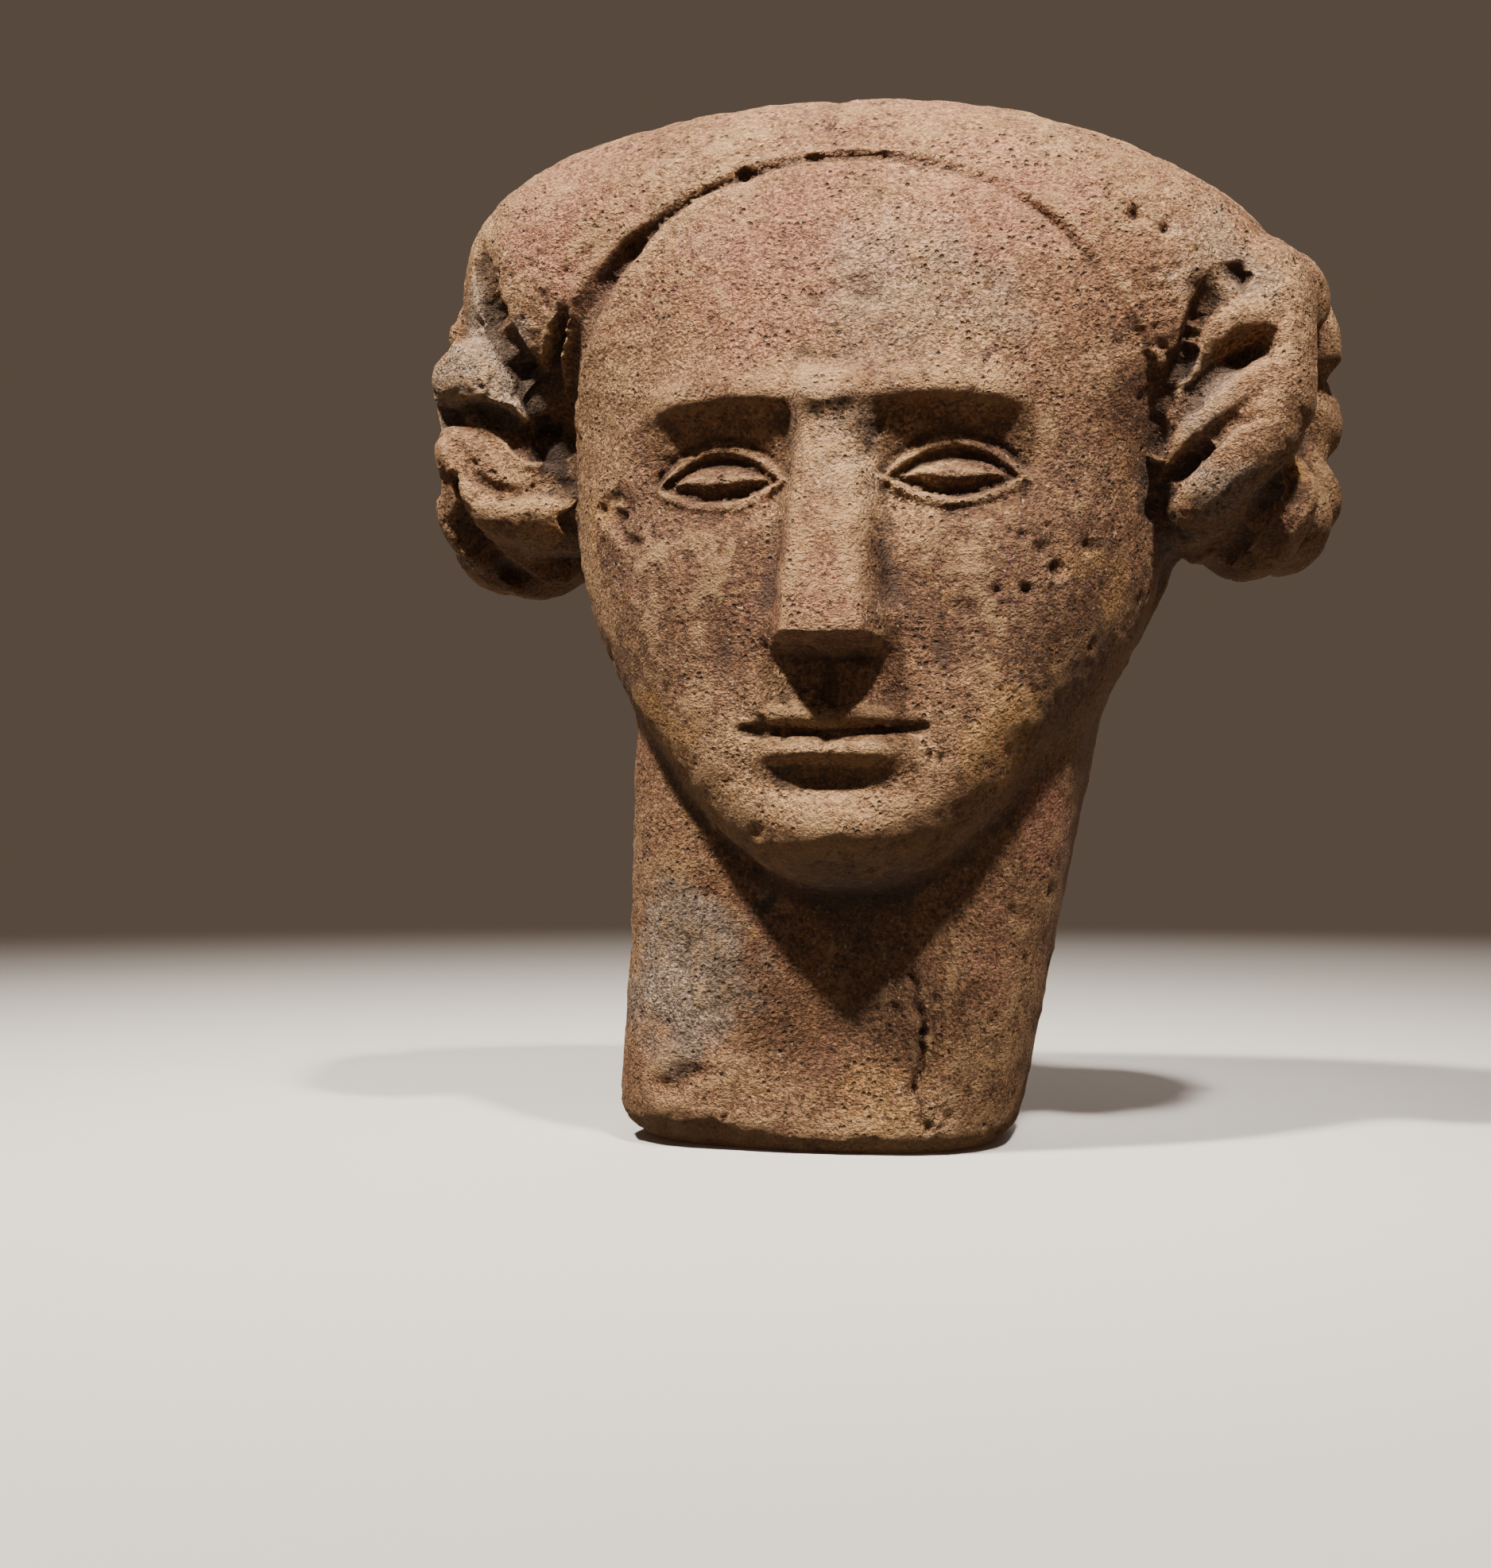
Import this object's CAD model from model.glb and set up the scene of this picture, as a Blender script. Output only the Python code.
"""A weathered sandstone head with a smooth parted cap of hair and a twisted roll over each ear.

Laid out as an add-on and run as a script: the piece is carved from a copy of its solid.
"""

import math

import bmesh
import bpy
import numpy as np
from bpy.props import FloatProperty, FloatVectorProperty, IntProperty, PointerProperty
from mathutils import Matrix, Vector
from mathutils.kdtree import KDTree


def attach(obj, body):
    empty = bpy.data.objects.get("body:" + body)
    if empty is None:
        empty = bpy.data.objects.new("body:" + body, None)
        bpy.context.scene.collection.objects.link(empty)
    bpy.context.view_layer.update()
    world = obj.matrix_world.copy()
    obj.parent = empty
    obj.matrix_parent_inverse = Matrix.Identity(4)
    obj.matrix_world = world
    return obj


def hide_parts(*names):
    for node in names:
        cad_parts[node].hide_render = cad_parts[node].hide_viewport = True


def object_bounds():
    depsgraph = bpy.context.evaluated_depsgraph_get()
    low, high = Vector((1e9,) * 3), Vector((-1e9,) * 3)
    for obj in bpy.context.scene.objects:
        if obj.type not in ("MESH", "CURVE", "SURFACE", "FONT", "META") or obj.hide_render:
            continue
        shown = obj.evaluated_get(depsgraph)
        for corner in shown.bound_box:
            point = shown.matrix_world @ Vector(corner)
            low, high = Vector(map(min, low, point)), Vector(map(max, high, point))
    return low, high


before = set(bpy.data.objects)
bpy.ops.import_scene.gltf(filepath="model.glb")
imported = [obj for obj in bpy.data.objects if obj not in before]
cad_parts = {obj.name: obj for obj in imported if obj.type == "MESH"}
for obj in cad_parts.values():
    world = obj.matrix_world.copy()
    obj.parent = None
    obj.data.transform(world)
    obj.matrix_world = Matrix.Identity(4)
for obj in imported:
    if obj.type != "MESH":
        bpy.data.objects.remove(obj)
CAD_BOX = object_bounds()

bl_info = {
    "name": "Carved stone head",
    "version": (1, 0, 0),
    "blender": (4, 5, 0),
    "location": "View3D > Sidebar > Stone Head",
    "description": "Carves a weathered sandstone head and sets it on a plain pale floor",
    "category": "Object",
}

MM = 0.001
NODE = "stone_head"
PIECE = "carved_stone"
MOST_TRIANGLES = 200000
SMALL_PITS = 420
# How many times the points are pulled to the surface: after the first remesh, later, and between
FIRST_PULLS = 10
LATER_PULLS = 4
QUICK_PULLS = 2
# The camera's focal length and the shift of its middle, in pixels of the full picture
FOCAL_PIXELS = 2850.0
SHIFT_ACROSS = 157.0
SHIFT_UP = 59.0
SENSOR_WIDTH = 36

# The block, in millimetres
CROWN = 502.0
HEAD_LENGTH = 382.0
FACE_WIDTH = 270.0
FACE_DEPTH = 112.0
SKULL_WIDTH = 284.0
SKULL_BACK = 118.0
CAP_WIDTH = 398.0
CAP_FRONT = 98.0
CAP_BACK = 138.0
CAP_RISE = 95.0
CAP_DROP = 80.0
NAPE_DROP = 118.0
NAPE_TUCK = 85.0
CAP_LEAN = 0.065
HAIR_STEP = 5.0
HAIRLINE_WIDTH = 298.0
ROLL_HEIGHT = 164.0
ROLL_THICK = 64.0
ROLL_PROUD = 80.0
ROLL_REACH = 183.0
ROLL_LEVEL = 356.0
ROLL_SETBACK = 14.0
ROLL_TOE = math.radians(10)
ROLL_SQUARE = 3.0
STRAND_CLIMB = math.radians(40)
HUB_SHARE = 0.55
STRAND_CUTS = (-78, -44, -8, 15, 40, 78, 120, 162, 204, 244)
NECK_WIDTH = 192.0
NECK_TOP_WIDTH = 226.0
NECK_DEPTH = 160.0
NECK_TOP_DEPTH = 176.0
NECK_TOP = 215.0
NECK_SHIFT = -28.0
NECK_TOP_SHIFT = -1.0
NECK_SETBACK = 18.0
NECK_EDGE = 13.0
CORNER_WEAR = 0.9
NECK_OVERLAP = 60.0  # how far the neck runs on inside the head
EAR_LINE = 2.07  # the ear line stands this far behind the middle of the box

CHIN = CROWN - HEAD_LENGTH
HAIRLINE = CROWN - HEAD_LENGTH * 0.1
EYE_LINE = CROWN - HEAD_LENGTH / 2
THIRD = (HAIRLINE - CHIN) / 3
BROW_LINE = HAIRLINE - THIRD
NOSE_BASE = BROW_LINE - THIRD
MOUTH_LINE = NOSE_BASE - THIRD / 3
EYE_WIDTH = FACE_WIDTH / 5
EYE_MIDDLE = FACE_WIDTH / 5
NOSE_WIDTH = FACE_WIDTH / 4.6
MOUTH_WIDTH = FACE_WIDTH / 3.1


# Small helpers for fields
def ease(v, low, high):
    """0 below low, 1 above high, smooth between."""
    t = np.clip((v - low) / (high - low), 0, 1)
    return t * t * (3 - 2 * t)


def mix(a, b, t):
    return a + (b - a) * t


def mound(x, z, middle_x, middle_z, half_x, half_z):
    return np.exp(-(((x - middle_x) / half_x) ** 2) - ((z - middle_z) / half_z) ** 2)


def ridge(v, width):
    return np.exp(-((v / width) ** 2))


def blend(a, b, radius):
    """Joins two fields, negative inside, with a fillet."""
    near = np.maximum(radius - np.abs(a - b), 0) / radius
    return np.minimum(a, b) - near * near * radius / 4


def carve_out(a, b, radius):
    """Takes field b out of field a, with a soft edge."""
    near = np.maximum(radius - np.abs(a + b), 0) / radius
    return np.maximum(a, -b) + near * near * radius / 4


def to_segment(x, z, a, b):
    """Distance in the front plane to the line from a to b."""
    ax, az = a
    dx, dz = b[0] - ax, b[1] - az
    t = np.clip(((x - ax) * dx + (z - az) * dz) / (dx * dx + dz * dz), 0, 1)
    return np.hypot(x - ax - t * dx, z - az - t * dz)


def grain(points, size, seed):
    """Smooth gradient noise, about -1 to 1, with lumps of about the given size."""
    q = points / size + seed * 17.31
    cell = np.floor(q).astype(np.int64)
    f = q - cell
    u = f * f * f * (f * (f * 6 - 15) + 10)
    total = np.zeros(len(points))
    for corner in range(8):
        step = np.array([corner & 1, corner >> 1 & 1, corner >> 2 & 1])
        c = cell + step
        n = c[:, 0] * 73856093 ^ c[:, 1] * 19349663 ^ c[:, 2] * 83492791 ^ seed * 374761393
        n = (n ^ (n >> 13)) * 1274126177 & 0x7FFFFFFF
        n = (n ^ (n >> 16)) * 668265263 & 0x7FFFFFFF
        turn = (n & 0xFFFF) / 0xFFFF * 2 * math.pi
        rise = (n >> 16 & 0x7FFF) / 0x7FFF * 2 - 1
        flat = np.sqrt(1 - rise * rise)
        off = f - step
        slope_here = flat * np.cos(turn) * off[:, 0] + flat * np.sin(turn) * off[:, 1] + rise * off[:, 2]
        total += np.prod(np.where(step, u, 1 - u), axis=1) * slope_here
    return total * 1.5


def layered(points, size, layers, seed):
    total = np.zeros(len(points))
    for layer in range(layers):
        total += grain(points, size / 2.03**layer, seed + layer) / 1.9**layer
    return total


# The big forms
def behind(y):
    return ease(y, 0, SKULL_BACK * 0.7)


def hair_cap(x, y, z):
    above = z + CAP_LEAN * x - (CROWN - CAP_RISE)
    drop = CAP_DROP + NAPE_DROP * behind(y)
    rise = np.where(above > 0, CAP_RISE, drop) - HAIR_STEP
    depth = np.where(y < 0, CAP_FRONT, CAP_BACK) - HAIR_STEP
    tuck = NAPE_TUCK * behind(y) * ease(-above, 0, CAP_DROP + NAPE_DROP)
    half = CAP_WIDTH / 2 - HAIR_STEP - tuck
    across = (np.abs(x) / half) ** 2.3 + (np.abs(y) / depth) ** 2.7
    reach = (across + (np.abs(above) / rise) ** 2.3) ** (1 / 2.4)
    return (reach - 1) * CAP_RISE


def skull(x, y, z):
    half = HEAD_LENGTH * 0.4
    middle = CHIN + HEAD_LENGTH * 0.56
    depth = np.where(y < 0, FACE_DEPTH * 0.75, SKULL_BACK)
    across = (np.abs(x) / (SKULL_WIDTH / 2)) ** 2.4 + (np.abs(y) / depth) ** 2.4
    reach = (across + (np.abs(z - middle) / half) ** 2.4) ** (1 / 2.4)
    return (reach - 1) * depth


def face_oval(x, y, z):
    middle = CHIN + HEAD_LENGTH * 0.5
    top = CROWN - HEAD_LENGTH * 0.05
    low = z < middle
    t = np.where(low, (middle - z) / (middle - CHIN), (z - middle) / (top - middle))
    t = np.clip(t, 0, None)
    held = np.clip(t, 0, 0.9995)
    jaw = np.where(low, 1 - 0.2 * ease(held, 0, 1), 1)
    width = FACE_WIDTH / 2 * jaw * (1 - held ** np.where(low, 2.3, 4.5)) ** 0.5
    depth = FACE_DEPTH * (1 - held ** np.where(low, 9, 2.7)) ** 0.4
    width, depth = np.maximum(width, 1), np.maximum(depth, 1)
    power = mix(2.5, 3.6, ease(held, 0.1, 0.6) * low)
    reach = ((np.abs(x) / width) ** power + (np.abs(y) / depth) ** power) ** (1 / power)
    inside = (reach - 1) * np.minimum(width, depth)
    beyond = np.hypot(np.hypot(x, y), np.where(low, CHIN - z, z - top))
    return np.where(t >= 1, beyond, inside)


def past_hairline(x, z):
    """Above 0 on the hair's side of the hairline, in millimetres."""
    arch = HAIRLINE - EYE_LINE
    reach = np.hypot(x / (HAIRLINE_WIDTH / 2), np.maximum(z - EYE_LINE, 0) / arch)
    return (reach - 1) * arch


# The carved face
def eyes(across, z):
    t = (across - EYE_MIDDLE) / (EYE_WIDTH / 2)
    arch = 1 - np.clip(np.abs(t), 0, 1.5) ** 2
    upper = EYE_LINE + EYE_WIDTH * 0.22 * arch
    lower = EYE_LINE - EYE_WIDTH * 0.15 * arch
    inside = np.minimum(upper - z, z - lower)
    near = 1 - ease(np.abs(t), 1.05, 1.5)
    socket = -15 * mound(across, z, EYE_MIDDLE - 1, EYE_LINE + 7, EYE_WIDTH * 0.68, EYE_WIDTH * 0.4)
    lids = 4.2 * ridge(inside + 3.2, 2.8) * near
    rim = -2.6 * ridge(inside - 0.6, 1.8) * near
    ball = 9.5 * ease(inside, 0, 9)
    fold = -1.6 * ridge(inside + 9.5, 1.8) * near * (z > EYE_LINE)
    return socket + lids + rim + ball + fold


def brow(across, z):
    arch = BROW_LINE - 0.0019 * (across - EYE_MIDDLE * 0.8) ** 2
    run = 1 - ease(across, EYE_MIDDLE + EYE_WIDTH * 0.35, EYE_MIDDLE + EYE_WIDTH * 0.75)
    return 7 * run * (ridge(z - arch, 7) * (z < arch) + ridge(z - arch, 13) * (z >= arch))


def nose(across, z):
    root = BROW_LINE + 4
    down = np.clip((root - z) / (root - NOSE_BASE), 0, 1)
    half = mix(NOSE_WIDTH * 0.2, NOSE_WIDTH * 0.33, down)
    height = mix(7, 34, down**1.15) * ease(z, NOSE_BASE - 6, NOSE_BASE + 5)
    side = ease(half + 10 - across, 0, 13)
    wing = 10 * mound(across, z, NOSE_WIDTH * 0.4, NOSE_BASE + 11, 8.5, 11)
    nostril = -6 * mound(across, z, NOSE_WIDTH * 0.22, NOSE_BASE - 2, 5, 4)
    return height * side * (1 - ease(z, root, root + 14)) + wing * (1 - side) + nostril


def mouth(across, z):
    half = MOUTH_WIDTH / 2
    run = ease(half + 2 - across, 0, half * 0.8)
    dip = 2.2 * ridge(across, 7) - 1.5 * (across / half) ** 2
    upper = 6.5 * run * ridge(z - MOUTH_LINE - 7.5 + dip, 5.5)
    lower = 7.5 * run * ridge(z - MOUTH_LINE + 8.5, 6.5)
    line = MOUTH_LINE + 1.2 * (across / half) ** 2 - 1.3 * ridge(across, 9)
    slit = -6.5 * ease(half + 3 - across, 0, 10) * ridge(z - line, 1.9)
    channel = -2.6 * mound(across, z, 0, (NOSE_BASE + MOUTH_LINE) / 2 + 4, 4.5, 10)
    return upper + lower + slit + channel


def face_relief(x, z):
    across = np.abs(x)
    chin = 10 * mound(across, z, 0, CHIN + THIRD * 0.26, 34, 24)
    under_lip = -4.5 * mound(across, z, 0, MOUTH_LINE - THIRD * 0.19, 28, 8)
    cheek = 5 * mound(across, z, FACE_WIDTH * 0.28, NOSE_BASE + THIRD * 0.3, 34, 34)
    beside = -2.5 * mound(across, z, NOSE_WIDTH * 0.85, NOSE_BASE - 2, 8, 16)
    features = eyes(across, z) + brow(across, z) + nose(across, z) + mouth(across, z)
    return features + chin + under_lip + cheek + beside


# Hair, rolls and neck
# Grooves beside the face, between the hair and the rolls: points, half width at each, depth
SIDE_GROOVES = (
    (((-187, 446), (-184, 432), (-175, 398), (-165, 366)), (0.8, 3.4, 5, 6), 13),
    (((184, 412), (174, 404), (163, 396)), (1, 4, 5), 6),
)
# Deep gaps and pockets: points across and up, half width at each point, depth
GAPS = (
    (
        ((-178, 431), (-169, 398), (-155, 366), (-149, 345), (-145, 318), (-143, 294)),
        (1.5, 4.5, 9.5, 11, 5, 3.5), 34,
    ),
    (((-134, 402), (-144, 380), (-150, 364)), (2.2, 4, 5), 12),
    (((-194, 361), (-181, 357), (-169, 350), (-160, 341)), (2.5, 5.5, 7.5, 8.5), 22),
    (((-197, 326), (-195, 303), (-186, 286), (-170, 275)), (2, 4.5, 5.5, 5), 14),
    (((185, 404), (172, 400), (164, 391), (158, 376), (153, 361)), (2, 5.5, 6.5, 5, 3.5), 26),
    (((192, 375), (178, 367), (167, 358), (159, 346)), (1.8, 4.5, 5.5, 4), 24),
    (((189, 340), (178, 336), (168, 329), (153, 318)), (1.5, 2.2, 3.6, 4.4), 24),
    (((200, 321), (193, 309), (187, 298)), (3, 5.5, 5.5), 22),
    (((150, 368), (145, 335), (141, 312), (138, 300)), (2.2, 2.4, 3.2, 3.6), 20),
    (((148, 276), (162, 278), (177, 285), (187, 296)), (3, 4.5, 5, 5), 13),
)
# The fingers that stand out on the front of a roll: points across and up, half width at each
# point, height. Between them the stone is cut back.
RIGHT_FINGERS = (
    (((146, 336), (152, 358), (162, 374), (175, 385), (192, 390), (206, 386)), (5, 7, 8, 9, 13, 15), 14),
    (((145, 322), (156, 335), (168, 344), (182, 353), (200, 360)), (6, 8, 9, 9, 12), 13),
    (((148, 294), (165, 306), (180, 320), (193, 337), (202, 354), (207, 370)), (14, 16, 16, 16, 15, 14), 15),
    (((196, 418), (208, 392), (211, 366), (210, 350)), (20, 20, 17, 12), 15),
    (((168, 430), (180, 416), (196, 408)), (16, 15, 16), 14),
    (((217, 345), (220, 322), (215, 304), (206, 288)), (9, 9, 8, 8), 12),
    (((180, 300), (186, 286)), (3.5, 3), 10),
    (((150, 277), (172, 275), (196, 274)), (7, 8, 8), 7),
)
LEFT_FINGERS = (
    (((-207, 376), (-190, 378), (-174, 372), (-164, 356)), (14, 17, 17, 9), 15),
    (((-207, 346), (-192, 339), (-177, 327), (-168, 321)), (9, 10, 8, 4), 10),
    (((-205, 340), (-199, 322), (-187, 308), (-170, 303), (-153, 304)), (8, 11, 12, 13, 13), 15),
    (((-217, 344), (-213, 327)), (6, 5), 9),
    (((-213, 314), (-206, 300), (-198, 288)), (9, 9, 6), 13),
    (((-190, 277), (-168, 275), (-148, 277)), (5, 6, 7), 7),
)
# How far the stone is cut back between the fingers
FINGER_CUT = 15.0


def along_path(x, z, points, widths):
    """Distance in the front plane to a broken line, as a share of the half width there."""
    nearest = np.full(len(x), 1e3)
    for a, b, wide_a, wide_b in zip(points, points[1:], widths, widths[1:]):
        dx, dz = b[0] - a[0], b[1] - a[1]
        t = np.clip(((x - a[0]) * dx + (z - a[1]) * dz) / (dx * dx + dz * dz), 0, 1)
        off = np.hypot(x - a[0] - t * dx, z - a[1] - t * dz) / mix(wide_a, wide_b, t)
        nearest = np.minimum(nearest, off)
    return nearest


def finger_height(x, z, points, widths, height):
    """Height of one rounded finger above the stone that is cut back."""
    return height * np.sqrt(np.clip(1 - along_path(x, z, points, widths) ** 2.6, 0, 1))


def finger_relief(x, z, side):
    """How far the front of a roll is cut back at each point."""
    top = np.zeros(len(x))
    for points, widths, height in RIGHT_FINGERS if side > 0 else LEFT_FINGERS:
        rise = finger_height(x, z, points, widths, height)
        top = np.maximum(top, rise)
    whole = ease(np.abs(x), 203, 219) if side < 0 else 0
    return (FINGER_CUT - top) * (1 - 0.8 * whole)


def head_field(x, y, z):
    front = ease(-y, FACE_DEPTH * 0.15, FACE_DEPTH * 0.5)
    edge = past_hairline(x, z)
    hair = blend(hair_cap(x, y, z), skull(x, y, z), 26)
    skin = blend(hair, face_oval(x, y, z) - face_relief(x, z) * front, 22)
    foot = ease(z + NAPE_DROP * behind(y), ROLL_LEVEL - 32, ROLL_LEVEL - 12)
    over = ease(edge, 0, 4) * 0.5 + ease(edge, 2, 26) * 0.5
    layer = HAIR_STEP * foot * mix(over, 1, ease(y, -20, 0))
    steep = ease(-x, 60, 125)
    shown = front * ease(z, ROLL_LEVEL - 20, ROLL_LEVEL + 10) * (1 - ease(x, 96, 128))
    groove = mix(mix(2.8, 2.0, ease(x, -20, 40)), 9.5, steep) * ridge(edge - 0.5, mix(1.9, 4.6, steep)) * shown
    parting = 1.3 * ridge(x + 8, 6) * ease(edge, 4, 16) * (z > EYE_LINE)
    return skin - layer + groove + parting


def roll_field(x, y, z, side):
    px, py, pz = side * x - ROLL_REACH, y - ROLL_SETBACK, z - ROLL_LEVEL
    proud = px * math.cos(ROLL_TOE) - py * math.sin(ROLL_TOE)
    back = px * math.sin(ROLL_TOE) + py * math.cos(ROLL_TOE)
    out = (np.abs(back) ** ROLL_SQUARE + np.abs(pz) ** ROLL_SQUARE) ** (1 / ROLL_SQUARE)
    radius = (ROLL_HEIGHT - ROLL_THICK) / 2
    u, v = (out - radius) / (ROLL_THICK / 2), proud / (ROLL_PROUD / 2)
    rho, about = np.hypot(u, v), np.arctan2(v, u)
    turn = np.degrees(np.arctan2(pz, -back) - STRAND_CLIMB * np.sin(about))
    shown = ease(np.sin(about), -0.9, -0.3)
    ahead = ease(-back, 8, 34)
    cut = np.zeros(len(x))
    for line in STRAND_CUTS:
        off = (turn - line + 180) % 360 - 180
        along = np.radians(off) * np.maximum(out, 20)
        cut = np.maximum(cut, (6 * ridge(along, 10) + 5 * ridge(along, 4.5)) * shown)
    if side > 0:
        cut = cut * (1 - 0.75 * ease(-back, -20, 5) * ease(z, 305, 330))
    near = np.abs(px) < 75
    relief = np.zeros(len(x))
    relief[near] = finger_relief(x[near], z[near], side)
    cut = mix(cut, relief, ahead)
    bulk = (rho - 1) * (ROLL_THICK + ROLL_PROUD) / 4 + cut * ease(rho, 0.2, 0.7)
    hub_x = side * x - (ROLL_REACH - ROLL_PROUD * (1 - HUB_SHARE) * 0.7)
    hub = np.sqrt((hub_x / (ROLL_PROUD * HUB_SHARE)) ** 2 + (py**2 + pz**2) / radius**2)
    return blend(bulk, (hub - 1) * ROLL_PROUD * HUB_SHARE, 3)


def neck_field(x, y, z):
    y = y - NECK_SETBACK
    share = np.clip(z / NECK_TOP, 0, 1)
    a = mix(NECK_WIDTH, NECK_TOP_WIDTH, share) / 2
    b = mix(NECK_DEPTH, NECK_TOP_DEPTH, share) / 2
    dx = x - mix(NECK_SHIFT, NECK_TOP_SHIFT, share)
    reach = ((np.abs(dx) / a) ** 3.4 + (np.abs(y) / b) ** 3.4) ** (1 / 3.4)
    wall = (reach - 1) * b
    corner = np.clip(2 * dx * y / np.maximum(dx * dx + y * y, 1), 0, 1) * (dx < 0)
    edge = NECK_EDGE * (1 + CORNER_WEAR * corner)
    inner_wall, inner_foot = wall + edge, edge - z
    rounded = np.hypot(np.maximum(inner_wall, 0), np.maximum(inner_foot, 0)) - edge
    body = np.where((inner_wall > 0) & (inner_foot > 0), rounded, np.maximum(wall, -z))
    return np.maximum(body, z - NECK_TOP - NECK_OVERLAP)


# Hollows broken out of the stone: middle, half sizes
HOLLOWS = (
    ((207, -46, 312), (8, 24, 14)),
    ((199, -44, 300), (8, 22, 11)),
    ((176, -44, 286), (11, 18, 8)),
    ((-203, -36, 318), (5, 26, 16)),
    ((-194, -40, 300), (8, 24, 12)),
    ((-178, -40, 287), (14, 22, 8)),
    ((-80, -64, 37), (9, 7, 4)),
    ((-93, -60, 30), (13, 7, 6)),
)


def stone_field(p):
    """The whole carved stone, negative inside. Points are millimetres from the middle of the foot."""
    x, y, z = p[:, 0], p[:, 1] - EAR_LINE, p[:, 2]
    head = head_field(x, y, z)
    stone = blend(head, neck_field(x, y, z), 6)
    for side in (-1, 1):
        stone = blend(stone, roll_field(x, y, z, side), 4)
    ahead = ease(-y, -25, 0)
    for points, widths, depth in SIDE_GROOVES:
        stone = stone + depth * ridge(along_path(x, z, points, widths), 1) * ahead
    for points, widths, depth in GAPS:
        stone = stone + depth * np.clip(1.1 - along_path(x, z, points, widths) ** 3, 0, 1) * ahead
    for middle, half in HOLLOWS:
        off = np.stack([x - middle[0], y - middle[1], z - middle[2]], 1) / half
        stone = carve_out(stone, (np.linalg.norm(off, axis=1) - 1) * min(half), 4)
    return stone


def slope(p, f):
    """The field's gradient at each point, by small steps."""
    g = np.empty_like(p)
    for axis in range(3):
        q = p.copy()
        q[:, axis] += 0.4
        g[:, axis] = (stone_field(q) - f) / 0.4
    return g


def pull_to_surface(p, rounds, most=4.0):
    """Moves points along the field's slope until they lie on the carved surface."""
    for _ in range(rounds):
        f = stone_field(p)
        g = slope(p, f)
        size = np.maximum((g * g).sum(1), 0.05)
        step = -(f / size)[:, None] * g
        length = np.linalg.norm(step, axis=1)
        p = p + step * np.minimum(1, most / np.maximum(length, 1e-9))[:, None]
    p[:, 2] = np.maximum(p[:, 2], 0)
    return p


# Meshes as arrays
def read_points(mesh):
    co = np.empty(len(mesh.vertices) * 3)
    mesh.vertices.foreach_get("co", co)
    return co.reshape(-1, 3) / MM


def write_points(mesh, p):
    mesh.vertices.foreach_set("co", (p * MM).ravel())
    mesh.update()


def read_edges(mesh):
    e = np.empty(len(mesh.edges) * 2, np.int32)
    mesh.edges.foreach_get("vertices", e)
    return e.reshape(-1, 2)


def read_normals(mesh):
    n = np.empty(len(mesh.vertices) * 3)
    mesh.vertex_normals.foreach_get("vector", n)
    return n.reshape(-1, 3)


def neighbour_mean(values, edges, count):
    total = np.zeros_like(values)
    number = np.bincount(edges.ravel(), minlength=count).astype(float)
    for a, b in ((0, 1), (1, 0)):
        for axis in range(values.shape[1]):
            total[:, axis] += np.bincount(edges[:, a], values[edges[:, b], axis], minlength=count)
    return total / np.maximum(number, 1)[:, None]


def spread_evenly(mesh, rounds):
    """Evens out the mesh along the surface, then puts it back on the carved surface."""
    edges = read_edges(mesh)
    for _ in range(rounds):
        p, n = read_points(mesh), read_normals(mesh)
        move = neighbour_mean(p, edges, len(p)) - p
        move -= (move * n).sum(1)[:, None] * n
        write_points(mesh, pull_to_surface(p + 0.6 * move, 1))


def remeshed(obj, size):
    """Rebuilds an object's mesh from voxels of the given size in millimetres."""
    remesh = obj.modifiers.new("voxels", "REMESH")
    remesh.mode = "VOXEL"
    remesh.voxel_size = size * MM
    remesh.adaptivity = 0
    graph = bpy.context.evaluated_depsgraph_get()
    mesh = bpy.data.meshes.new_from_object(obj.evaluated_get(graph))
    obj.modifiers.clear()
    old = obj.data
    obj.data = mesh
    bpy.data.meshes.remove(old)
    return mesh


def solid_copy(node, name):
    """A merged copy of a CAD node's mesh as a new object."""
    bm = bmesh.new()
    bm.from_mesh(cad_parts[node].data)
    bmesh.ops.remove_doubles(bm, verts=bm.verts, dist=0.01 * MM)
    mesh = bpy.data.meshes.new(name)
    bm.to_mesh(mesh)
    bm.free()
    obj = bpy.data.objects.new(name, mesh)
    bpy.context.scene.collection.objects.link(obj)
    return obj


def halved(mesh, wanted):
    """Halves the mesh's spacing on the edges that are wanted, by their middles and normals."""
    p, n, edges = read_points(mesh), read_normals(mesh), read_edges(mesh)
    middles = (p[edges[:, 0]] + p[edges[:, 1]]) / 2
    facing = np.minimum(n[edges[:, 0], 1], n[edges[:, 1], 1])
    chosen = wanted(middles, facing)
    bm = bmesh.new()
    bm.from_mesh(mesh)
    bm.edges.ensure_lookup_table()
    picked = [bm.edges[i] for i in np.nonzero(chosen)[0]]
    bmesh.ops.subdivide_edges(bm, edges=picked, cuts=1, use_grid_fill=True)
    bmesh.ops.triangulate(bm, faces=[f for f in bm.faces if len(f.verts) > 4])
    bm.to_mesh(mesh)
    bm.free()


def on_front(p, facing):
    return (p[:, 1] < 10) & (facing < -0.12) & (p[:, 2] > 8)


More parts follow.
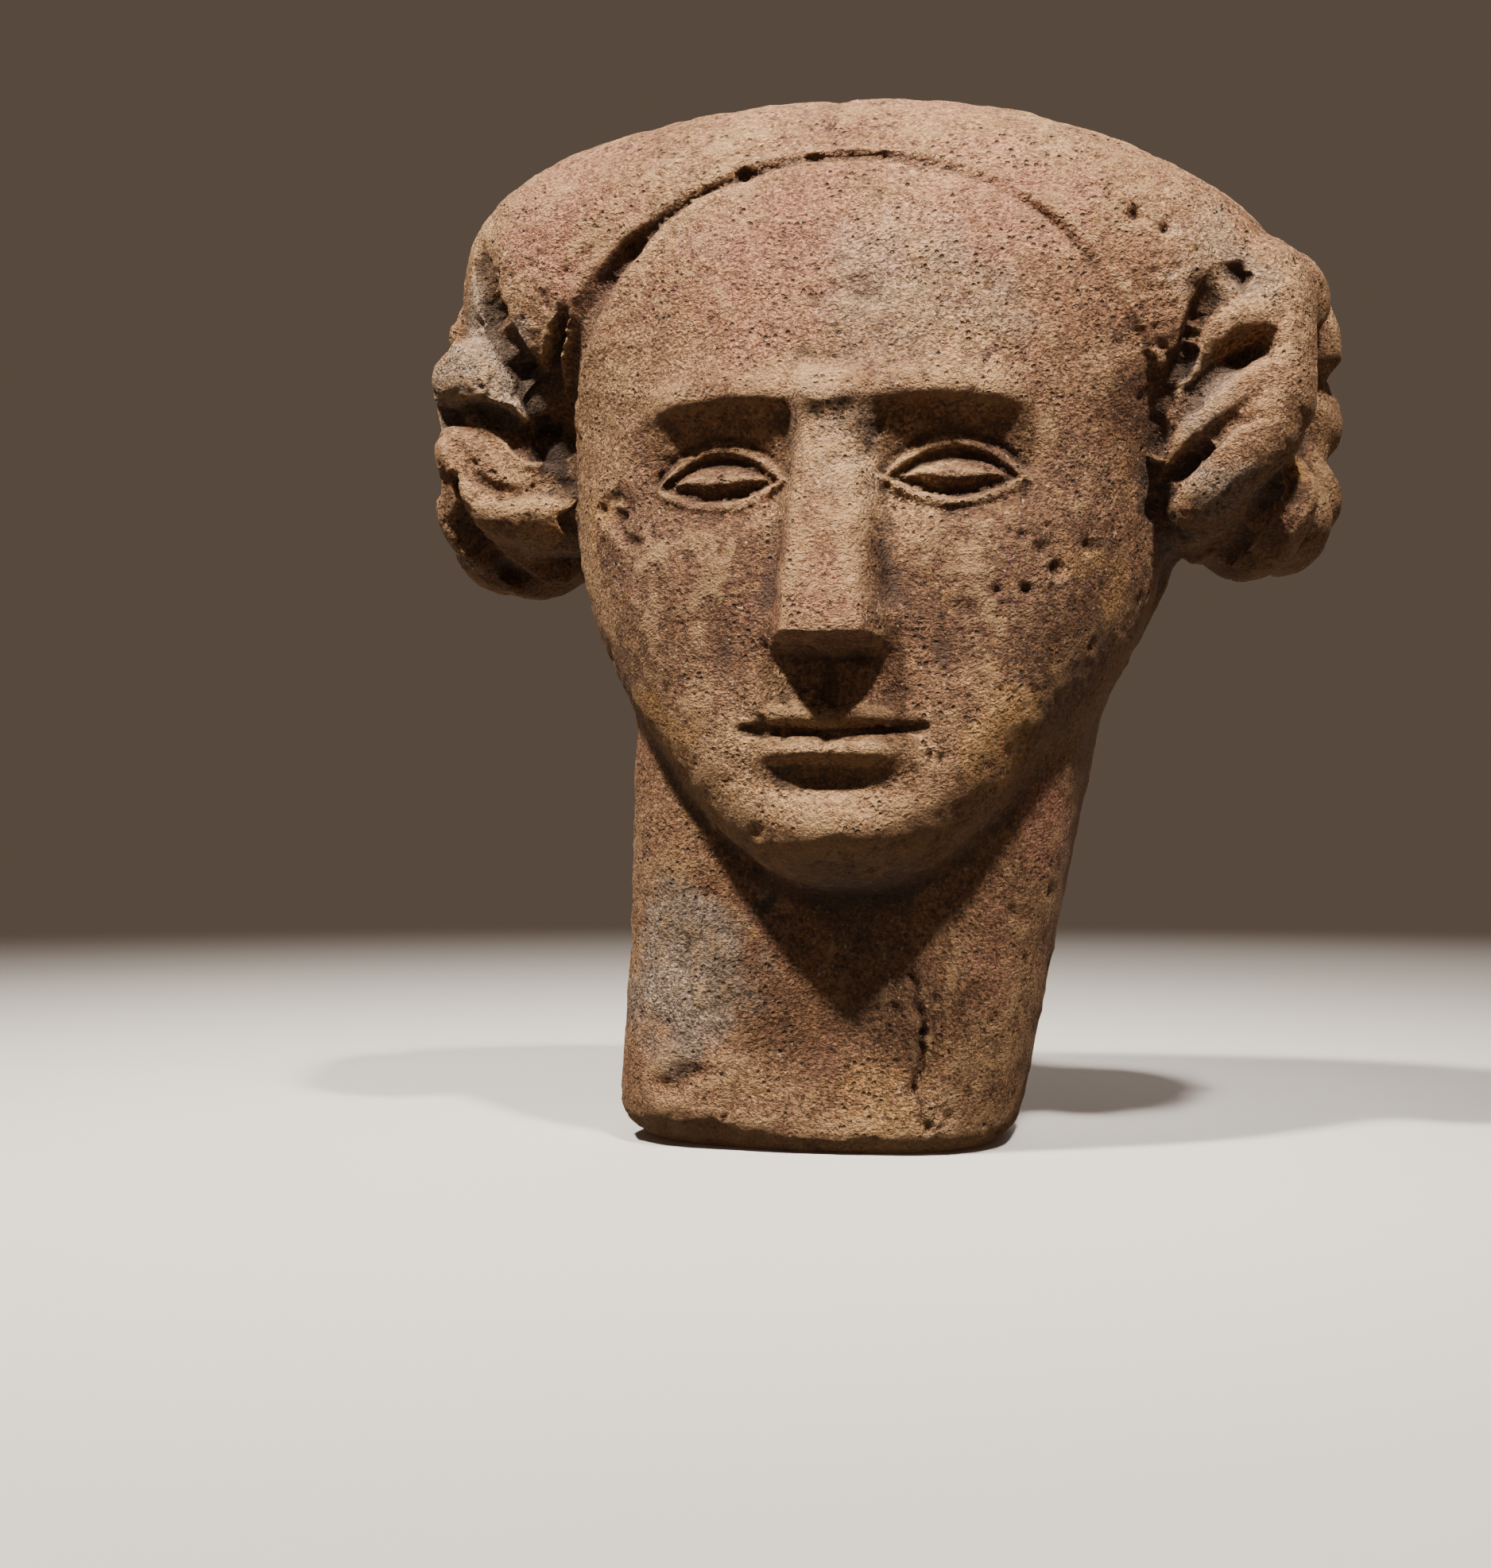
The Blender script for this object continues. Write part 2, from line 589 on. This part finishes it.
def on_carving(p, facing):
    """The rolls' fronts, the eyes, nostrils and lips, and the crack, the chips and the gouge."""
    across, z = np.abs(p[:, 0]), p[:, 2]
    roll = (across > 132) & (z > 262) & (z < 440)
    eye = (np.abs(across - EYE_MIDDLE) < EYE_WIDTH * 0.62) & (np.abs(z - EYE_LINE) < EYE_WIDTH * 0.36)
    lips = (across < MOUTH_WIDTH * 0.56) & (np.abs(z - MOUTH_LINE) < 13)
    nostril = (across < NOSE_WIDTH * 0.62) & (np.abs(z - NOSE_BASE) < 14)
    crack = (p[:, 0] > 20) & (p[:, 0] < 44) & (z < 86)
    chips = (np.abs(p[:, 0] - 94) < 22) & (np.abs(z - 272) < 18)
    gouge = (np.abs(p[:, 0] + 108) < 15) & (np.abs(z - 299) < 18)
    return on_front(p, facing) & (roll | eye | lips | nostril | crack | chips | gouge)


# Weathering
# Single pits and chips that show: x, z on the front, half width, depth
PITS = (
    (-46, 458, 3.0, 6), (-99, 426, 3.2, 6), (134, 432, 3.6, 6), (147, 425, 2.6, 4), (122, 441, 2.4, 3),
    (-8, 483, 2.2, 3), (93, 278, 3.6, 4), (99, 269, 3.0, 4), (84, 283, 2.2, 3), (112, 281, 2.8, 3),
    (86, 259, 2.6, 3), (74, 258, 2, 2.5),
    (-105, 300, 3.5, 4), (-111, 309, 2.8, 3), (62, 250, 2.6, 3), (-62, 352, 2.6, 2.5), (40, 421, 2.6, 2),
    (-38, 429, 2.4, 2), (70, 396, 2.8, 2.5), (-46, 398, 2.2, 2), (15, 164, 2.8, 2.5), (-36, 152, 2.6, 2),
    (22, 70, 2.6, 2), (50, 110, 2.4, 2), (-84, 88, 2.6, 2),
)
# Scratches, cracks and gouges: from, to (x, z on the front), depth, half width
SCORES = (
    ((-117, 306), (-98, 286), 3.2, 3.2),
    ((-108, 312), (-99, 300), 2.2, 2.2),
    ((29, 86), (34, 58), 3.0, 1.5),
    ((34, 58), (31, 32), 5.0, 1.9),
    ((31, 32), (35, 12), 3.0, 1.5),
    ((-20, 404), (2, 408), 1.0, 1.6),
    ((96, 345), (104, 318), 1.0, 1.5),
    ((60, 222), (76, 214), 1.0, 1.5),
    ((-34, 60), (-6, 47), 1.2, 1.8),
    ((-60, 444), (-48, 440), 1.2, 1.8),
    ((-96, 232), (-84, 205), 1.0, 1.6),
)
# Round marks: middle across and up, radius, height
RINGS = ((77, 209, 9, 0.8), (77, 209, 4, 0.6), (-42, 292, 6.5, 0.6), (38, 276, 5, 0.5))


def weathered(p, seed):
    """How far each point is worn back, below 0, or stands proud, in millimetres."""
    x, z = p[:, 0], p[:, 2]
    swell = 1.3 * layered(p, 70, 2, 3)
    dents = 0.8 * layered(p, 19, 3, 11)
    rough = 0.42 * layered(p * (1, 1, 1.15), 6, 3, 23)
    crumbs = -1.5 * ease(layered(p, 9, 2, 31), 0.62, 0.95)
    chipped = -1.6 * ease(layered(p * (1, 1, 1.5), 38, 3, 41), 0.5, 0.62) * ease(layered(p, 90, 1, 43), 0, 0.3)
    streaks = 0.5 * layered(p * (1, 1, 0.3), 6, 2, 51) * (1 - ease(z, 90, 150))
    spared = mound(np.abs(x), z, EYE_MIDDLE, EYE_LINE, 26, 16) + mound(x, z, 0, MOUTH_LINE, 44, 14)
    kept = 1 - 0.5 * ease(-p[:, 1], 60, 90) * spared
    total = swell + dents + (rough + crumbs) * kept + chipped + streaks
    front = ease(-p[:, 1], 8, 30)
    for px, pz, half, depth in PITS:
        total -= depth * front * ridge(np.hypot(x - px, z - pz), half)
    wander = 2.2 * grain(p, 9, 57)
    for a, b, depth, half in SCORES:
        total -= depth * front * ridge(to_segment(x + wander, z + wander, a, b), half)
    for px, pz, radius, height in RINGS:
        total += height * front * ridge(np.hypot(x - px, z - pz) - radius + 0.5 * wander, 1.2)
    rng = np.random.default_rng(seed)
    picks = rng.choice(len(p), SMALL_PITS, replace=False)
    tree = KDTree(len(p))
    for i, co in enumerate(p):
        tree.insert(co, i)
    tree.balance()
    for i in picks:
        half, depth = rng.uniform(1.2, 2.6), rng.uniform(0.6, 2.2)
        for _, j, away in tree.find_range(p[i], half * 2.2):
            total[j] -= depth * math.exp(-((away / half) ** 2))
    return total


def even_corners(mesh):
    """Smooths the mesh where it lies in a narrow groove. Returns how narrow, from 0 to 1."""
    edges = read_edges(mesh)
    p, n = read_points(mesh), read_normals(mesh)
    soft = p
    for _ in range(8):
        soft = neighbour_mean(soft, edges, len(p))
    deep = ease(((soft - p) * n).sum(1), 0.25, 1.2) * (np.abs(p[:, 0]) > 118)
    for _ in range(3):
        deep = np.maximum(deep, neighbour_mean(deep[:, None], edges, len(p))[:, 0])
    for _ in range(7):
        p = p + 0.6 * deep[:, None] * (neighbour_mean(p, edges, len(p)) - p)
    write_points(mesh, p)
    return deep


def add_wear_masks(mesh):
    """Stores on the mesh how deep each point lies in a hollow and how far it stands out."""
    edges = read_edges(mesh)
    p, n = read_points(mesh), read_normals(mesh)
    soft, depth = p, np.zeros(len(p))
    for rounds, full in ((6, 0.5), (24, 2.2), (70, 6.0)):
        for _ in range(rounds):
            soft = neighbour_mean(soft, edges, len(p))
        depth += np.clip(((soft - p) * n).sum(1) / full, -1, 1) / 3
    for name, values in (("hollow", np.clip(depth, 0, 1)), ("proud", np.clip(-depth, 0, 1))):
        mesh.attributes.new(name, "FLOAT", "POINT").data.foreach_set("value", values.astype(np.float32))


class HeadSettings(bpy.types.PropertyGroup):
    first_voxel: FloatProperty(
        name="First voxel", description="Size of the first remesh, in millimetres",
        default=5.2, min=2,
    )
    voxel: FloatProperty(
        name="Voxel", description="Size of the last remesh, in millimetres",
        default=5.3, min=2,
    )
    wear: FloatProperty(
        name="Wear", description="Depth of the weathering against the usual depth",
        default=1.0, min=0, max=3,
    )
    seed: IntProperty(name="Seed", description="Order of the random pits", default=7)


class ColourSettings(bpy.types.PropertyGroup):
    stone: FloatVectorProperty(
        name="Stone", description="Main colour of the sandstone",
        subtype="COLOR", size=3, default=(0.245, 0.121, 0.064),
    )
    pale: FloatVectorProperty(
        name="Pale grains", description="Colour of the worn, paler stone",
        subtype="COLOR", size=3, default=(0.48, 0.3, 0.15),
    )
    dark: FloatVectorProperty(
        name="Dirt", description="Colour of the dirt in the hollows",
        subtype="COLOR", size=3, default=(0.05, 0.03, 0.021),
    )
    grey: FloatVectorProperty(
        name="Grey crust", description="Colour of the grey patches",
        subtype="COLOR", size=3, default=(0.3, 0.228, 0.17),
    )
    umber: FloatVectorProperty(
        name="Umber", description="Colour of the darker brown stone",
        subtype="COLOR", size=3, default=(0.13, 0.064, 0.035),
    )
    rose: FloatVectorProperty(
        name="Rose", description="Colour of the reddish streaks",
        subtype="COLOR", size=3, default=(0.36, 0.165, 0.105),
    )
    stain: FloatVectorProperty(
        name="Stain", description="Colour of the wavy stain lines",
        subtype="COLOR", size=3, default=(0.11, 0.05, 0.045),
    )
    ochre: FloatVectorProperty(
        name="Ochre", description="Colour of the yellow patches",
        subtype="COLOR", size=3, default=(0.5, 0.27, 0.1),
    )


class StageSettings(bpy.types.PropertyGroup):
    distance: FloatProperty(
        name="Distance", description="Camera to the upright axis of the head, in millimetres",
        default=1123,
    )
    azimuth: FloatProperty(
        name="Azimuth", description="Camera's place round the head",
        subtype="ANGLE", default=math.radians(9),
    )
    height: FloatProperty(
        name="Height", description="Camera above the floor, in millimetres",
        default=152,
    )
    lens: FloatProperty(name="Lens", description="Focal length, in millimetres", default=52.0)
    backdrop: FloatVectorProperty(
        name="Backdrop", description="Colour behind the head",
        subtype="COLOR", size=3, default=(0.105, 0.075, 0.056)
    )
    floor: FloatVectorProperty(
        name="Floor", description="Colour of the pale floor",
        subtype="COLOR", size=3, default=(0.74, 0.72, 0.69)
    )
    floor_reach: FloatProperty(
        name="Floor reach", description="Where the floor has faded out, in millimetres",
        default=2600,
    )


# Patches of colour: middle in millimetres, radius, strength
GREY_PATCHES = (
    ((40, -105, 395), 70, 0.55), ((0, -125, 330), 48, 0.55), ((-190, -40, 385), 52, 0.9),
    ((-82, -62, 84), 66, 1.0), ((168, -60, 345), 30, 0.7), ((168, -50, 415), 40, 0.6),
    ((170, -62, 300), 36, 0.8), ((-60, -110, 440), 40, 0.4),
    ((170, 40, 440), 60, 0.5), ((0, 120, 400), 120, 0.5), ((-60, 90, 120), 90, 0.6),
)
OCHRE_PATCHES = (
    ((82, -100, 190), 40, 0.8), ((-86, -95, 205), 38, 0.7), ((112, -60, 262), 34, 0.6),
    ((10, -75, 12), 62, 0.6), ((55, -70, 40), 40, 0.45), ((-20, -120, 150), 34, 0.5),
    ((208, -10, 330), 26, 0.8), ((-120, -60, 300), 24, 0.6), ((120, 60, 180), 80, 0.5),
)
DARK_PATCHES = (
    ((5, -84, 118), 46, 0.85), ((-6, -118, 128), 26, 0.6), ((160, -40, 400), 30, 0.5),
    ((-205, 0, 290), 34, 0.7), ((190, -10, 290), 36, 0.5), ((0, 100, 240), 90, 0.4),
)
# The black inside of the clefts beside and in the rolls
CLEFT_PATCHES = (
    ((-152, -26, 352), 24, 1.0), ((-146, -22, 332), 17, 1.0), ((-166, -30, 396), 16, 0.9),
    ((-172, -40, 350), 16, 0.9), ((-192, -36, 300), 14, 0.8), ((160, -38, 384), 17, 1.0),
    ((170, -38, 362), 14, 1.0), ((166, -38, 330), 14, 1.0), ((148, -30, 325), 22, 1.0),
    ((193, -38, 308), 15, 1.0), ((164, -50, 277), 20, 0.9), ((150, -30, 300), 16, 0.9),
)
# Where the neck is combed with fine tool marks
COMBED_PATCHES = (((-84, -70, 86), 60, 1.0), ((88, -60, 110), 46, 0.6), ((20, -70, 80), 44, 0.5))
UMBER_PATCHES = (
    ((-82, -105, 285), 72, 1.0), ((88, -100, 285), 80, 1.0), ((-95, -90, 215), 60, 0.9),
    ((100, -80, 225), 60, 0.9), ((-50, -108, 258), 58, 0.95), ((54, -106, 258), 58, 0.95),
    ((-42, -112, 222), 40, 0.7), ((42, -112, 222), 40, 0.7), ((20, -66, 60), 50, 0.8),
    ((-20, -75, 60), 60, 0.7), ((30, -75, 40), 46, 0.6),
    ((138, -50, 340), 40, 0.9), ((-150, -80, 400), 34, 0.6), ((0, 130, 330), 120, 0.6),
    ((-130, 60, 200), 90, 0.5), ((150, 60, 420), 80, 0.5),
)
ROSE_PATCHES = (
    ((104, -50, 150), 48, 0.9), ((80, -60, 90), 44, 0.7), ((-100, -60, 250), 46, 0.5),
    ((70, -100, 440), 70, 0.8), ((-130, -50, 440), 70, 0.8),
    ((-20, -110, 420), 80, 0.7), ((0, -40, 500), 110, 0.6), ((0, -120, 260), 50, 0.5),
)


class Shader:
    """Short calls for a material's nodes."""

    def __init__(self, name):
        self.material = bpy.data.materials.new(name)
        self.material.use_nodes = True
        self.tree = self.material.node_tree
        self.bsdf = self.tree.nodes["Principled BSDF"]

    def put(self, value, socket):
        if isinstance(value, bpy.types.NodeSocket):
            self.tree.links.new(value, socket)
        else:
            socket.default_value = value

    def node(self, kind, output=0, settings=None, **inputs):
        node = self.tree.nodes.new(kind)
        for key, value in (settings or {}).items():
            setattr(node, key, value)
        for key, value in inputs.items():
            self.put(value, node.inputs[key])
        return node.outputs[output]

    def math(self, operation, a, b=0.0, clamp=False):
        node = self.tree.nodes.new("ShaderNodeMath")
        node.operation, node.use_clamp = operation, clamp
        self.put(a, node.inputs[0])
        self.put(b, node.inputs[1])
        return node.outputs[0]

    def ramp(self, value, low, high, out_low=0.0, out_high=1.0):
        node = self.tree.nodes.new("ShaderNodeMapRange")
        node.interpolation_type = "SMOOTHSTEP"
        for socket, item in zip(node.inputs, (value, low, high, out_low, out_high)):
            self.put(item, socket)
        return node.outputs[0]

    def noise(self, at, scale, detail, roughness=0.55, distortion=0.0):
        return self.node(
            "ShaderNodeTexNoise", Vector=at, Scale=scale, Detail=detail, Roughness=roughness,
            Distortion=distortion
        )

    def tint(self, base, colour, amount):
        node = self.tree.nodes.new("ShaderNodeMix")
        node.data_type = "RGBA"
        self.put(amount, node.inputs[0])
        self.put(base, node.inputs[6])
        self.put(colour, node.inputs[7])
        return node.outputs[2]

    def vector(self, operation, a, b):
        node = self.tree.nodes.new("ShaderNodeVectorMath")
        node.operation = operation
        self.put(a, node.inputs[0])
        self.put(b, node.inputs[1])
        return node.outputs[0]

    def shade(self, base, factor):
        """Makes a colour lighter or darker by a factor."""
        node = self.tree.nodes.new("ShaderNodeVectorMath")
        node.operation = "SCALE"
        self.put(base, node.inputs[0])
        self.put(factor, node.inputs["Scale"])
        return node.outputs[0]

    def patches(self, at, table, broken):
        """1 inside the listed patches, with edges broken up by a noise."""
        total = None
        for middle, radius, strength in table:
            away = self.node("ShaderNodeVectorMath", 1, {"operation": "DISTANCE"}, Vector=at)
            away.node.inputs[1].default_value = Vector(middle) * MM
            near = self.ramp(away, radius * MM, radius * MM * 0.42, 0.0, strength)
            total = near if total is None else self.math("MAXIMUM", total, near)
        ragged = self.math("ADD", total, self.math("MULTIPLY", self.math("SUBTRACT", broken, 0.5), 1.5))
        return self.math("MULTIPLY", self.ramp(ragged, 0.25, 0.8), total, True)


def stone_material(colours):
    s = Shader("weathered_sandstone")
    at = s.node("ShaderNodeTexCoord", "Object")
    broad = s.noise(at, 11, 6, 0.6, 0.4)
    mottle = s.noise(at, 48, 6, 0.68)
    broken = s.noise(at, 34, 8, 0.72, 0.6)
    fine = s.noise(at, 240, 5, 0.7)
    lumps = s.noise(at, 560, 3, 0.62, 0.1)
    grit = s.noise(at, 1000, 2, 0.6)
    grains = s.node("ShaderNodeTexVoronoi", "Color", Vector=at, Scale=700.0)
    grains = s.node("ShaderNodeSeparateColor", 0, Color=grains)

    # broad colour of the stone, then its patches, whose edges wander
    push = s.node("ShaderNodeTexNoise", "Color", Vector=at, Scale=26.0, Detail=4.0)
    push = s.shade(s.vector("SUBTRACT", push, (0.5, 0.5, 0.5)), 0.09)
    moved = s.vector("ADD", at, push)
    colour = s.tint((*colours.stone, 1), (*colours.pale, 1), s.ramp(broad, 0.4, 0.66, 0.0, 0.5))
    colour = s.tint(colour, (*colours.pale, 1), s.ramp(mottle, 0.52, 0.72, 0.0, 0.5))
    colour = s.tint(colour, (*colours.umber, 1), s.ramp(mottle, 0.48, 0.3, 0.0, 0.55))
    for table, tone, most in (
        (UMBER_PATCHES, colours.umber, 0.9),
        (ROSE_PATCHES, colours.rose, 0.75),
        (GREY_PATCHES, colours.grey, 0.85),
        (OCHRE_PATCHES, colours.ochre, 0.8),
        (DARK_PATCHES, colours.dark, 0.75),
        (CLEFT_PATCHES, colours.dark, 1.0),
    ):
        colour = s.tint(colour, (*tone, 1), s.math("MULTIPLY", s.patches(moved, table, broken), most))

    # thin wavy stain lines
    lines = s.noise(at, 13, 2, 0.5, 1.2)
    lines = s.ramp(s.math("ABSOLUTE", s.math("SUBTRACT", lines, 0.5)), 0.0075, 0.002)
    lines = s.math("MULTIPLY", lines, s.ramp(s.noise(at, 9, 2), 0.47, 0.56))
    colour = s.tint(colour, (*colours.stain, 1), s.math("MULTIPLY", lines, 0.6))

    # grains of sand
    colour = s.shade(colour, s.ramp(grains, 0.0, 1.0, 0.72, 1.3))
    colour = s.shade(colour, s.ramp(fine, 0.3, 0.7, 0.74, 1.22))
    colour = s.shade(colour, s.ramp(lumps, 0.34, 0.64, 0.55, 1.3))
    colour = s.shade(colour, s.ramp(grit, 0.3, 0.7, 0.84, 1.16))
    yellow = s.ramp(s.noise(at, 160, 4, 0.7), 0.56, 0.68)
    colour = s.tint(colour, (*colours.ochre, 1), s.math("MULTIPLY", yellow, 0.4))
    specks = s.ramp(s.noise(at, 330, 2, 0.5), 0.66, 0.73)
    colour = s.tint(colour, (0.6, 0.44, 0.27, 1), s.math("MULTIPLY", specks, 0.65))
    spots = s.ramp(s.noise(at, 210, 2, 0.5), 0.32, 0.26)
    colour = s.tint(colour, (*colours.dark, 1), s.math("MULTIPLY", spots, 0.7))

    # small pits, darker inside
    pits = s.node("ShaderNodeTexVoronoi", "Distance", Vector=at, Scale=230.0, Randomness=1.0)
    pits = s.math("MULTIPLY", s.ramp(pits, 0.3, 0.14), s.ramp(s.noise(at, 40, 2), 0.46, 0.56))
    colour = s.tint(colour, (*colours.dark, 1), s.math("MULTIPLY", pits, 0.6))

    # dirt in the hollows, rubbed edges
    hollow = s.node("ShaderNodeAttribute", "Fac", {"attribute_name": "hollow"})
    proud = s.node("ShaderNodeAttribute", "Fac", {"attribute_name": "proud"})
    dirt = s.math("MULTIPLY", s.ramp(hollow, 0.16, 0.85), s.ramp(broken, 0.3, 0.62, 0.35, 1.0))
    colour = s.tint(colour, (*colours.dark, 1), s.math("MULTIPLY", dirt, 0.85))
    rubbed = s.math("MULTIPLY", s.ramp(proud, 0.2, 0.6), s.ramp(mottle, 0.35, 0.6))
    colour = s.tint(colour, (*colours.pale, 1), s.math("MULTIPLY", rubbed, 0.55))
    s.put(colour, s.bsdf.inputs["Base Color"])

    s.put(s.ramp(fine, 0.3, 0.7, 0.82, 0.97), s.bsdf.inputs["Roughness"])
    s.bsdf.inputs["Specular IOR Level"].default_value = 0.28

    # relief too fine for the mesh: lumps of grain, small pits, combed lines on the neck
    flat = s.node("ShaderNodeMapping", Vector=at, Scale=(1, 1, 1.1))
    coarse = s.noise(flat, 130, 5, 0.66, 0.1)
    lumpy = s.noise(flat, 560, 3, 0.62, 0.1)
    turned = s.node("ShaderNodeMapping", Vector=at, Rotation=(0, math.radians(34), 0), Scale=(1, 1, 0.16))
    comb = s.noise(turned, 210, 3, 0.6, 0.25)
    combed = s.patches(moved, COMBED_PATCHES, broken)
    height = s.math("ADD", s.math("MULTIPLY", coarse, 1.3), s.math("MULTIPLY", lumpy, 1.5))
    height = s.math("ADD", height, s.math("MULTIPLY", grit, 0.6))
    height = s.math("SUBTRACT", height, s.math("MULTIPLY", pits, 1.3))
    height = s.math("ADD", height, s.math("MULTIPLY", s.math("MULTIPLY", comb, combed), 3.2))
    bump = s.node("ShaderNodeBump", Height=height, Strength=1.0, Distance=2.3 * MM)
    s.put(bump, s.bsdf.inputs["Normal"])
    return s.material


def floor_material(view):
    """A plain pale floor that runs out into the backdrop's colour far from the head."""
    s = Shader("pale_floor")
    s.bsdf.inputs["Base Color"].default_value = (*view.floor, 1)
    s.bsdf.inputs["Roughness"].default_value = 0.85
    at = s.node("ShaderNodeTexCoord", "Object")
    away = s.node("ShaderNodeVectorMath", 1, {"operation": "LENGTH"}, Vector=at)
    glow = s.node("ShaderNodeEmission", Color=(*view.backdrop, 1))
    join = s.node("ShaderNodeMixShader")
    faded = s.ramp(away, 500 * MM, view.floor_reach * MM)
    for socket, item in zip(join.node.inputs, (faded, s.bsdf.outputs[0], glow)):
        s.put(item, socket)
    s.put(join, s.tree.nodes["Material Output"].inputs["Surface"])
    return s.material


class STONEHEAD_OT_carve(bpy.types.Operator):
    """Carve the head from a copy of its solid and give it its stone"""

    bl_idname = "stonehead.carve"
    bl_label = "Carve the head"

    def execute(self, context):
        settings = context.scene.stone_head
        obj = solid_copy(NODE, PIECE)
        mesh = remeshed(obj, settings.first_voxel)
        write_points(mesh, pull_to_surface(read_points(mesh), FIRST_PULLS))
        mesh = remeshed(obj, settings.voxel)
        write_points(mesh, pull_to_surface(read_points(mesh), LATER_PULLS))
        halved(mesh, on_front)
        write_points(mesh, pull_to_surface(read_points(mesh), QUICK_PULLS))
        halved(mesh, on_carving)
        write_points(mesh, pull_to_surface(read_points(mesh), LATER_PULLS))
        spread_evenly(mesh, 4)
        deep = even_corners(mesh)
        p, n = read_points(mesh), read_normals(mesh)
        worn = weathered(p, settings.seed) * settings.wear * ease(p[:, 2], 0, 6)
        p = p + n * (1 - 0.7 * deep)[:, None] * worn[:, None]
        p[:, 2] = np.maximum(p[:, 2], 0)
        low, high = (np.array(v) / MM for v in CAD_BOX)
        write_points(mesh, np.clip(p, low, high))
        add_wear_masks(mesh)
        mesh.shade_smooth()
        mesh.materials.clear()
        mesh.materials.append(stone_material(context.scene.stone_colours))
        triangles = sum(len(f.vertices) - 2 for f in mesh.polygons)
        if triangles > MOST_TRIANGLES:
            raise RuntimeError(f"the stone has {triangles} triangles")
        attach(obj, "root")
        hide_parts(NODE)
        return {"FINISHED"}


class STONEHEAD_OT_stage(bpy.types.Operator):
    """Set the floor, the lights and the camera"""

    bl_idname = "stonehead.stage"
    bl_label = "Set the stage"

    def execute(self, context):
        view = context.scene.stone_stage
        bm = bmesh.new()
        bmesh.ops.create_grid(bm, x_segments=1, y_segments=1, size=6)
        mesh = bpy.data.meshes.new("floor")
        bm.to_mesh(mesh)
        bm.free()
        floor = bpy.data.objects.new("floor", mesh)
        context.scene.collection.objects.link(floor)
        mesh.materials.append(floor_material(view))
        floor.visible_diffuse = False  # the pale floor throws no light back up into the shadows

        world = bpy.data.worlds.new("studio")
        world.use_nodes = True
        world.node_tree.nodes["Background"].inputs["Color"].default_value = (*view.backdrop, 1)
        context.scene.world = world

        for name, place, aim, size, spread, power, tint in (
            ("left_spot", (-0.62, -1.22, 2.28), (0, 0, 0.3), 0.16, 180, 142, (1, 0.92, 0.82)),
            ("right_spot", (0.66, -1.2, 2.3), (0.04, -0.05, 0.46), 0.16, 36, 4.5, (1, 0.93, 0.85)),
            ("soft_fill", (0.2, -2.4, 0.8), (0, 0, 0.3), 1.8, 180, 3, (1, 0.97, 0.94)),
            ("back_fill", (0.1, 2.5, 1.3), (0, 0, 0.3), 1.8, 180, 18, (1, 0.94, 0.88)),
        ):
            light = bpy.data.lights.new(name, "AREA")
            light.size = size
            light.spread = math.radians(spread)
            light.energy = power
            light.color = tint
            lamp = bpy.data.objects.new(name, light)
            lamp.location = place
            lamp.rotation_euler = (Vector(aim) - Vector(place)).to_track_quat("-Z", "Y").to_euler()
            context.scene.collection.objects.link(lamp)

        az = view.azimuth
        camera_data = bpy.data.cameras.new("camera")
        camera_data.sensor_width = SENSOR_WIDTH
        camera_data.sensor_fit = "AUTO"
        camera_data.lens = view.lens
        camera = bpy.data.objects.new("camera", camera_data)
        camera.location = Vector((
            view.distance * math.sin(az),
            -view.distance * math.cos(az) + EAR_LINE,
            view.height,
        )) * MM
        heading = math.radians(90) + az + math.atan(SHIFT_ACROSS / FOCAL_PIXELS)
        pitch = math.atan(SHIFT_UP / FOCAL_PIXELS)
        level = math.cos(pitch)
        look = Vector((math.cos(heading) * level, math.sin(heading) * level, math.sin(pitch)))
        camera.rotation_euler = look.to_track_quat("-Z", "Y").to_euler()
        context.scene.collection.objects.link(camera)
        context.scene.camera = camera
        return {"FINISHED"}


class STONEHEAD_PT_panel(bpy.types.Panel):
    """Buttons and sizes of the stone head"""

    bl_label = "Stone Head"
    bl_idname = "STONEHEAD_PT_panel"
    bl_space_type = "VIEW_3D"
    bl_region_type = "UI"
    bl_category = "Stone Head"

    def draw(self, context):
        for group in (context.scene.stone_head, context.scene.stone_colours, context.scene.stone_stage):
            for name in group.__annotations__:
                self.layout.prop(group, name)
        self.layout.operator(STONEHEAD_OT_carve.bl_idname)
        self.layout.operator(STONEHEAD_OT_stage.bl_idname)


CLASSES = (
    HeadSettings, ColourSettings, StageSettings,
    STONEHEAD_OT_carve, STONEHEAD_OT_stage, STONEHEAD_PT_panel,
)


def register():
    for cls in CLASSES:
        bpy.utils.register_class(cls)
    bpy.types.Scene.stone_head = PointerProperty(type=HeadSettings)
    bpy.types.Scene.stone_colours = PointerProperty(type=ColourSettings)
    bpy.types.Scene.stone_stage = PointerProperty(type=StageSettings)


def unregister():
    del bpy.types.Scene.stone_stage
    del bpy.types.Scene.stone_colours
    del bpy.types.Scene.stone_head
    for cls in reversed(CLASSES):
        bpy.utils.unregister_class(cls)


def main():
    register()
    bpy.ops.stonehead.carve()
    bpy.ops.stonehead.stage()


if __name__ == "__main__":
    main()
